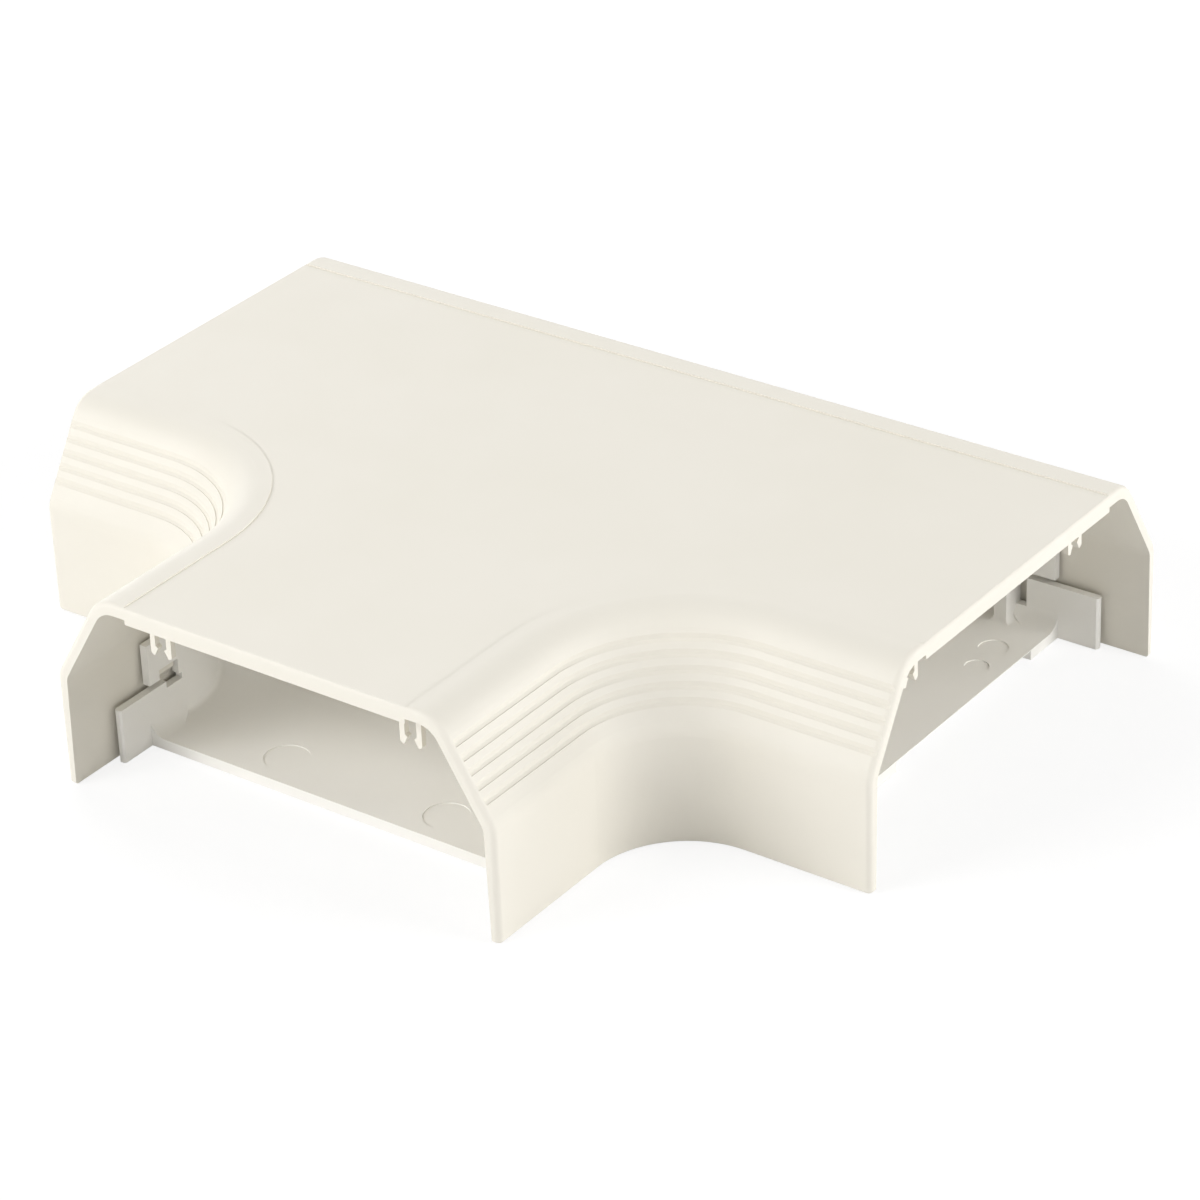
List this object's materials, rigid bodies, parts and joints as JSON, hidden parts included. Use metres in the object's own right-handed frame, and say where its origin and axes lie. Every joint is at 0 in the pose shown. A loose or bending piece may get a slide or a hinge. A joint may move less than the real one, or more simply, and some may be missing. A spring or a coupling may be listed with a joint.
{
  "type": "trunking tee fitting",
  "caption": "Tee fitting for surface raceway trunking: a T-shaped clip-on cover with bevelled, grooved shoulders over a wall base with side walls and joining tabs.",
  "frame": {"origin": "on the mounting plane under the floor, where the centre lines of the three arms meet", "axes": "+X along the run, -Y along the branch, +Z away from the wall towards the roof"},
  "size_m": [0.2046, 0.1582, 0.0455],
  "materials": {
    "cover_plastic": "satin moulded ABS, warm ivory",
    "base_plastic": "satin moulded ABS, warm ivory"
  },
  "bodies": {
    "root": {"cover": "cover_plastic", "base": "base_plastic"}
  },
  "joints": []
}
